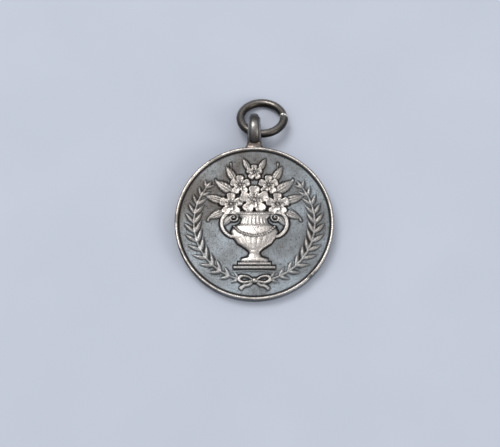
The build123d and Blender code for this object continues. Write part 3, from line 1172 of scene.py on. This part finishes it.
def silverMaterial(name, tone):
    # Toned silver: grimy in the recesses and darkened by painted shade, rubbed bright where it stands out
    # and lit by painted highlights, pitted and scratched
    material = bpy.data.materials.new(name)
    material.use_nodes = True
    tree = material.node_tree
    tree.nodes.clear()
    place = addNode(tree, "ShaderNodeTexCoord").outputs["Object"]
    patinaAndShade = addNode(tree, "ShaderNodeAttribute", attribute_name="patinaAndShade").outputs["Fac"]
    wearAndHighlight = addNode(tree, "ShaderNodeAttribute", attribute_name="wearAndHighlight").outputs["Fac"]
    fresh = addNode(tree, "ShaderNodeAttribute", attribute_name="fresh").outputs["Fac"]

    # Toning drifts over the piece in clouds
    slope = addNode(tree, "ShaderNodeVectorMath", {0: place, 1: tone["drift"]}, operation="DOT_PRODUCT")
    cloud = noiseNode(tree, place, tone["cloudScale"], 5.0, 0.62)
    clouded = rangeNode(tree, cloud, 0.30, 0.70, -0.1, 1.1)
    toning = mathNode(tree, "ADD", slope.outputs["Value"], clouded, clamp=True)
    colour = mixColour(tree, toning, tone["cool"], tone["warm"])

    # Fine pits and mottling
    grain = rangeNode(tree, noiseNode(tree, place, grainScale, 4.0, 0.7), 0.36, 0.66)
    pits = rangeNode(tree, noiseNode(tree, place, pitScale, 2.0), 0.60, 0.70)
    colour = mixColour(tree, mathNode(tree, "MULTIPLY", grain, tone["mottle"]), colour, tone["dark"])
    # Wear and painted highlights lighten the colour towards the bright tone
    wearAndHighlightMix = mathNode(tree, "MULTIPLY", wearAndHighlight, rangeNode(tree, grain, 0.0, 1.0, 1.15, 0.45), clamp=True)
    colour = mixColour(tree, wearAndHighlightMix, colour, tone["bright"])
    colour = mixColour(tree, mathNode(tree, "MULTIPLY", pits, tone["pits"]), colour, tone["dark"])
    # Patina and painted shade darken it towards the dark tone
    patinaAndShadeMix = mathNode(tree, "MULTIPLY", patinaAndShade, rangeNode(tree, grain, 0.0, 1.0, 1.12, 0.9), clamp=True)
    colour = mixColour(tree, mathNode(tree, "MULTIPLY", patinaAndShadeMix, tone["patinaAndShadeMix"]), colour, tone["dark"])
    colour = mixColour(tree, fresh, colour, tone["bare"])

    # Rubbed silver is the smoothest, and grime and painted shade the dullest
    rough = rangeNode(tree, wearAndHighlightMix, 0.0, 1.0, tone["roughField"], tone["roughBright"])
    rough = mathNode(tree, "ADD", rough, mathNode(tree, "MULTIPLY", patinaAndShadeMix, 0.22))
    rough = mathNode(tree, "ADD", rough, rangeNode(tree, cloud, 0.3, 0.7, -0.05, 0.06))

    # Hair scratches run one way over a fine pitted skin
    stretch = {"Vector": place, "Rotation": (0, 0, 0.6), "Scale": (1.0, 0.05, 1.0)}
    scratches = noiseNode(tree, addNode(tree, "ShaderNodeMapping", stretch).outputs[0], scratchScale, 2.0)
    skin = mathNode(tree, "MULTIPLY", noiseNode(tree, place, poreScale, 4.0, 0.6), 0.8)
    skin = mathNode(tree, "SUBTRACT", skin, mathNode(tree, "MULTIPLY", pits, 0.5))
    height = mathNode(tree, "ADD", skin, mathNode(tree, "MULTIPLY", scratches, 0.3))
    relief = {"Strength": tone["bump"], "Distance": bumpDepth, "Height": height}
    bumps = addNode(tree, "ShaderNodeBump", relief)
    shader = {
        "Base Color": colour,
        "Metallic": tone["metallic"],
        "Roughness": rough,
        "Normal": bumps.outputs[0],
        "Specular IOR Level": 0.5,
    }
    surface = addNode(tree, "ShaderNodeBsdfPrincipled", shader)
    out = addNode(tree, "ShaderNodeOutputMaterial")
    tree.links.new(surface.outputs[0], out.inputs[0])
    return material


shared = {
    "dark": (0.020, 0.016, 0.013, 1),
    "bare": (0.88, 0.85, 0.80, 1),
    "metallic": 1.0,
    "drift": (0.0, 0.0, 0.0),
    "cloudScale": 260.0,
    "mottle": 0.25,
    "pits": 0.6,
    "patinaAndShadeMix": 0.96,
}
tones = {
    "medal": shared
    | {
        "cool": (0.265, 0.298, 0.325, 1),
        "warm": (0.115, 0.108, 0.102, 1),
        "bright": (0.62, 0.565, 0.52, 1),
        "drift": (-24.0, 20.0, 0.0),
        "cloudScale": 120.0,
        "mottle": 0.28,
        "pits": 0.85,
        "roughField": 0.42,
        "roughBright": 0.25,
        "bump": 1.0,
    },
    "wire": shared
    | {
        "cool": (0.040, 0.041, 0.042, 1),
        "warm": (0.075, 0.060, 0.048, 1),
        "bright": (0.46, 0.42, 0.38, 1),
        "patinaAndShadeMix": 0.85,
        "mottle": 0.35,
        "roughField": 0.28,
        "roughBright": 0.20,
        "bump": 0.45,
    },
    "strap": shared
    | {
        "cool": (0.050, 0.045, 0.041, 1),
        "warm": (0.078, 0.057, 0.045, 1),
        "bright": (0.56, 0.55, 0.53, 1),
        "patinaAndShadeMix": 0.85,
        "roughField": 0.32,
        "roughBright": 0.25,
        "bump": 0.45,
    },
    "solder": shared
    | {
        "cool": (0.15, 0.125, 0.110, 1),
        "warm": (0.21, 0.165, 0.140, 1),
        "bright": (0.80, 0.68, 0.58, 1),
        "patinaAndShadeMix": 0.8,
        "roughField": 0.34,
        "roughBright": 0.24,
        "bump": 0.9,
    },
}
for obj, name in ((medal, "medal"), (wireRing, "wire"), (strap, "strap"), (flare, "solder")):
    obj.data.materials.append(silverMaterial(name + "Silver", tones[name]))
report("materials made")

# Paper floor under the fob, on the slope that the fob rests on

paperReach = 900.0
floorPoints = []
for x, y in ((-1, -1), (1, -1), (1, 1), (-1, 1)):
    along = y * paperReach
    drop = along * sin(tableSlope)
    place = (x * paperReach, along * cos(tableSlope) - blank["radius"], blank["rimBottom"] - drop)
    floorPoints.append(place)
paper = makeMesh("paper", np.array(floorPoints) * mm, [(0, 1, 2, 3)])


def paperMaterial():
    material = bpy.data.materials.new("palePaper")
    material.use_nodes = True
    tree = material.node_tree
    surface = tree.nodes["Principled BSDF"]
    place = addNode(tree, "ShaderNodeTexCoord").outputs["Object"]
    patch = rangeNode(tree, noiseNode(tree, place, 45.0, 3.0), 0.3, 0.7)
    colour = mixColour(tree, patch, (0.530, 0.565, 0.650, 1), (0.555, 0.590, 0.672, 1))
    fibres = noiseNode(tree, place, 2200.0, 3.0)
    bumps = addNode(tree, "ShaderNodeBump", {"Strength": 0.25, "Distance": 0.00005, "Height": fibres})
    tree.links.new(colour, surface.inputs["Base Color"])
    tree.links.new(bumps.outputs[0], surface.inputs["Normal"])
    surface.inputs["Roughness"].default_value = 0.9
    return material


paper.data.materials.append(paperMaterial())

# Light: a bright sky overhead that fades to the horizon, and two soft boxes


def softBox(name, place, side, power, colour):
    light = bpy.data.lights.new(name, "AREA")
    light.shape = "SQUARE"
    light.size = side
    light.energy = power
    light.color = colour
    obj = bpy.data.objects.new(name, light)
    obj.location = place
    obj.rotation_euler = (-Vector(place)).to_track_quat("-Z", "Y").to_euler()
    bpy.context.scene.collection.objects.link(obj)


softBox("skyLight", (-0.18, 0.24, 0.56), 0.30, 1.6, (1.0, 0.985, 0.97))
softBox("sideLight", (0.48, -0.26, 0.34), 0.28, 1.0, (1.0, 0.97, 0.95))


def skyWorld():
    world = bpy.data.worlds.new("sky")
    world.use_nodes = True
    tree = world.node_tree
    direction = addNode(tree, "ShaderNodeTexCoord").outputs["Generated"]
    height = addNode(tree, "ShaderNodeSeparateXYZ", {0: direction}).outputs["Z"]
    background = tree.nodes["Background"]
    background.inputs["Color"].default_value = (0.93, 0.96, 1.0, 1)
    tree.links.new(rangeNode(tree, height, 0.0, 1.0, 0.16, 0.84), background.inputs["Strength"])
    return world


bpy.context.scene.world = skyWorld()

# Camera: as the photograph was taken, from above the medal's near side

camera = {"elevation": 73.646, "distance": 230.49, "target": (-0.882, -0.382, 1.95), "focalPixels": 1150.0}
photoWidth = 500
lens = bpy.data.cameras.new("camera")
lens.sensor_width = 36.0
lens.lens = camera["focalPixels"] / photoWidth * lens.sensor_width
lens.clip_start, lens.clip_end = 0.01, 10.0
eye = bpy.data.objects.new("camera", lens)
rise = radians(camera["elevation"])
aim = Vector(camera["target"]) * mm
eye.location = aim + Vector((0, -cos(rise), sin(rise))) * camera["distance"] * mm
eye.rotation_euler = (aim - eye.location).to_track_quat("-Z", "Y").to_euler()
bpy.context.scene.collection.objects.link(eye)
scene = bpy.context.scene
scene.camera = eye
scene.view_settings.view_transform = "Standard"
